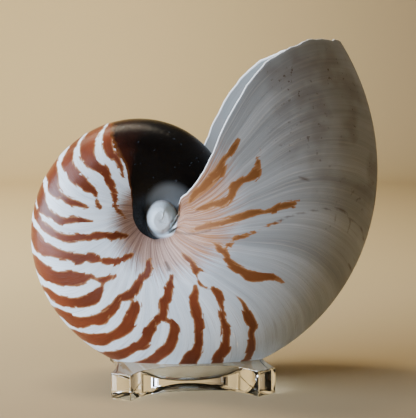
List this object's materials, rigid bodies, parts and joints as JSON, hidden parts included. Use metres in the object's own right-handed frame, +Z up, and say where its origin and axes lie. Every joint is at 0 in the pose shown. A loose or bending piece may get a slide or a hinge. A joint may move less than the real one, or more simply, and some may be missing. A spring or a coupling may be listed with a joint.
{
  "type": "chambered nautilus shell on a clear stand",
  "caption": "Whole chambered nautilus shell with a striped coil and an open mouth, resting keel down in the dish of a clear acrylic block.",
  "frame": {"origin": "on the ground under the middle of the whole object's bounding box", "axes": "+Z up; X runs in the shell's plane of symmetry, with the mouth and the body whorl towards +X and the coil towards -X; Y is the coiling axis"},
  "size_m": [0.1614, 0.0892, 0.1581],
  "materials": {
    "shell": "satin porcelain white with brown stripes on the coil",
    "clear_acrylic": "clear, polished"
  },
  "bodies": {
    "root": {"nautilus_shell": "shell", "acrylic_stand": "clear_acrylic"}
  },
  "joints": []
}
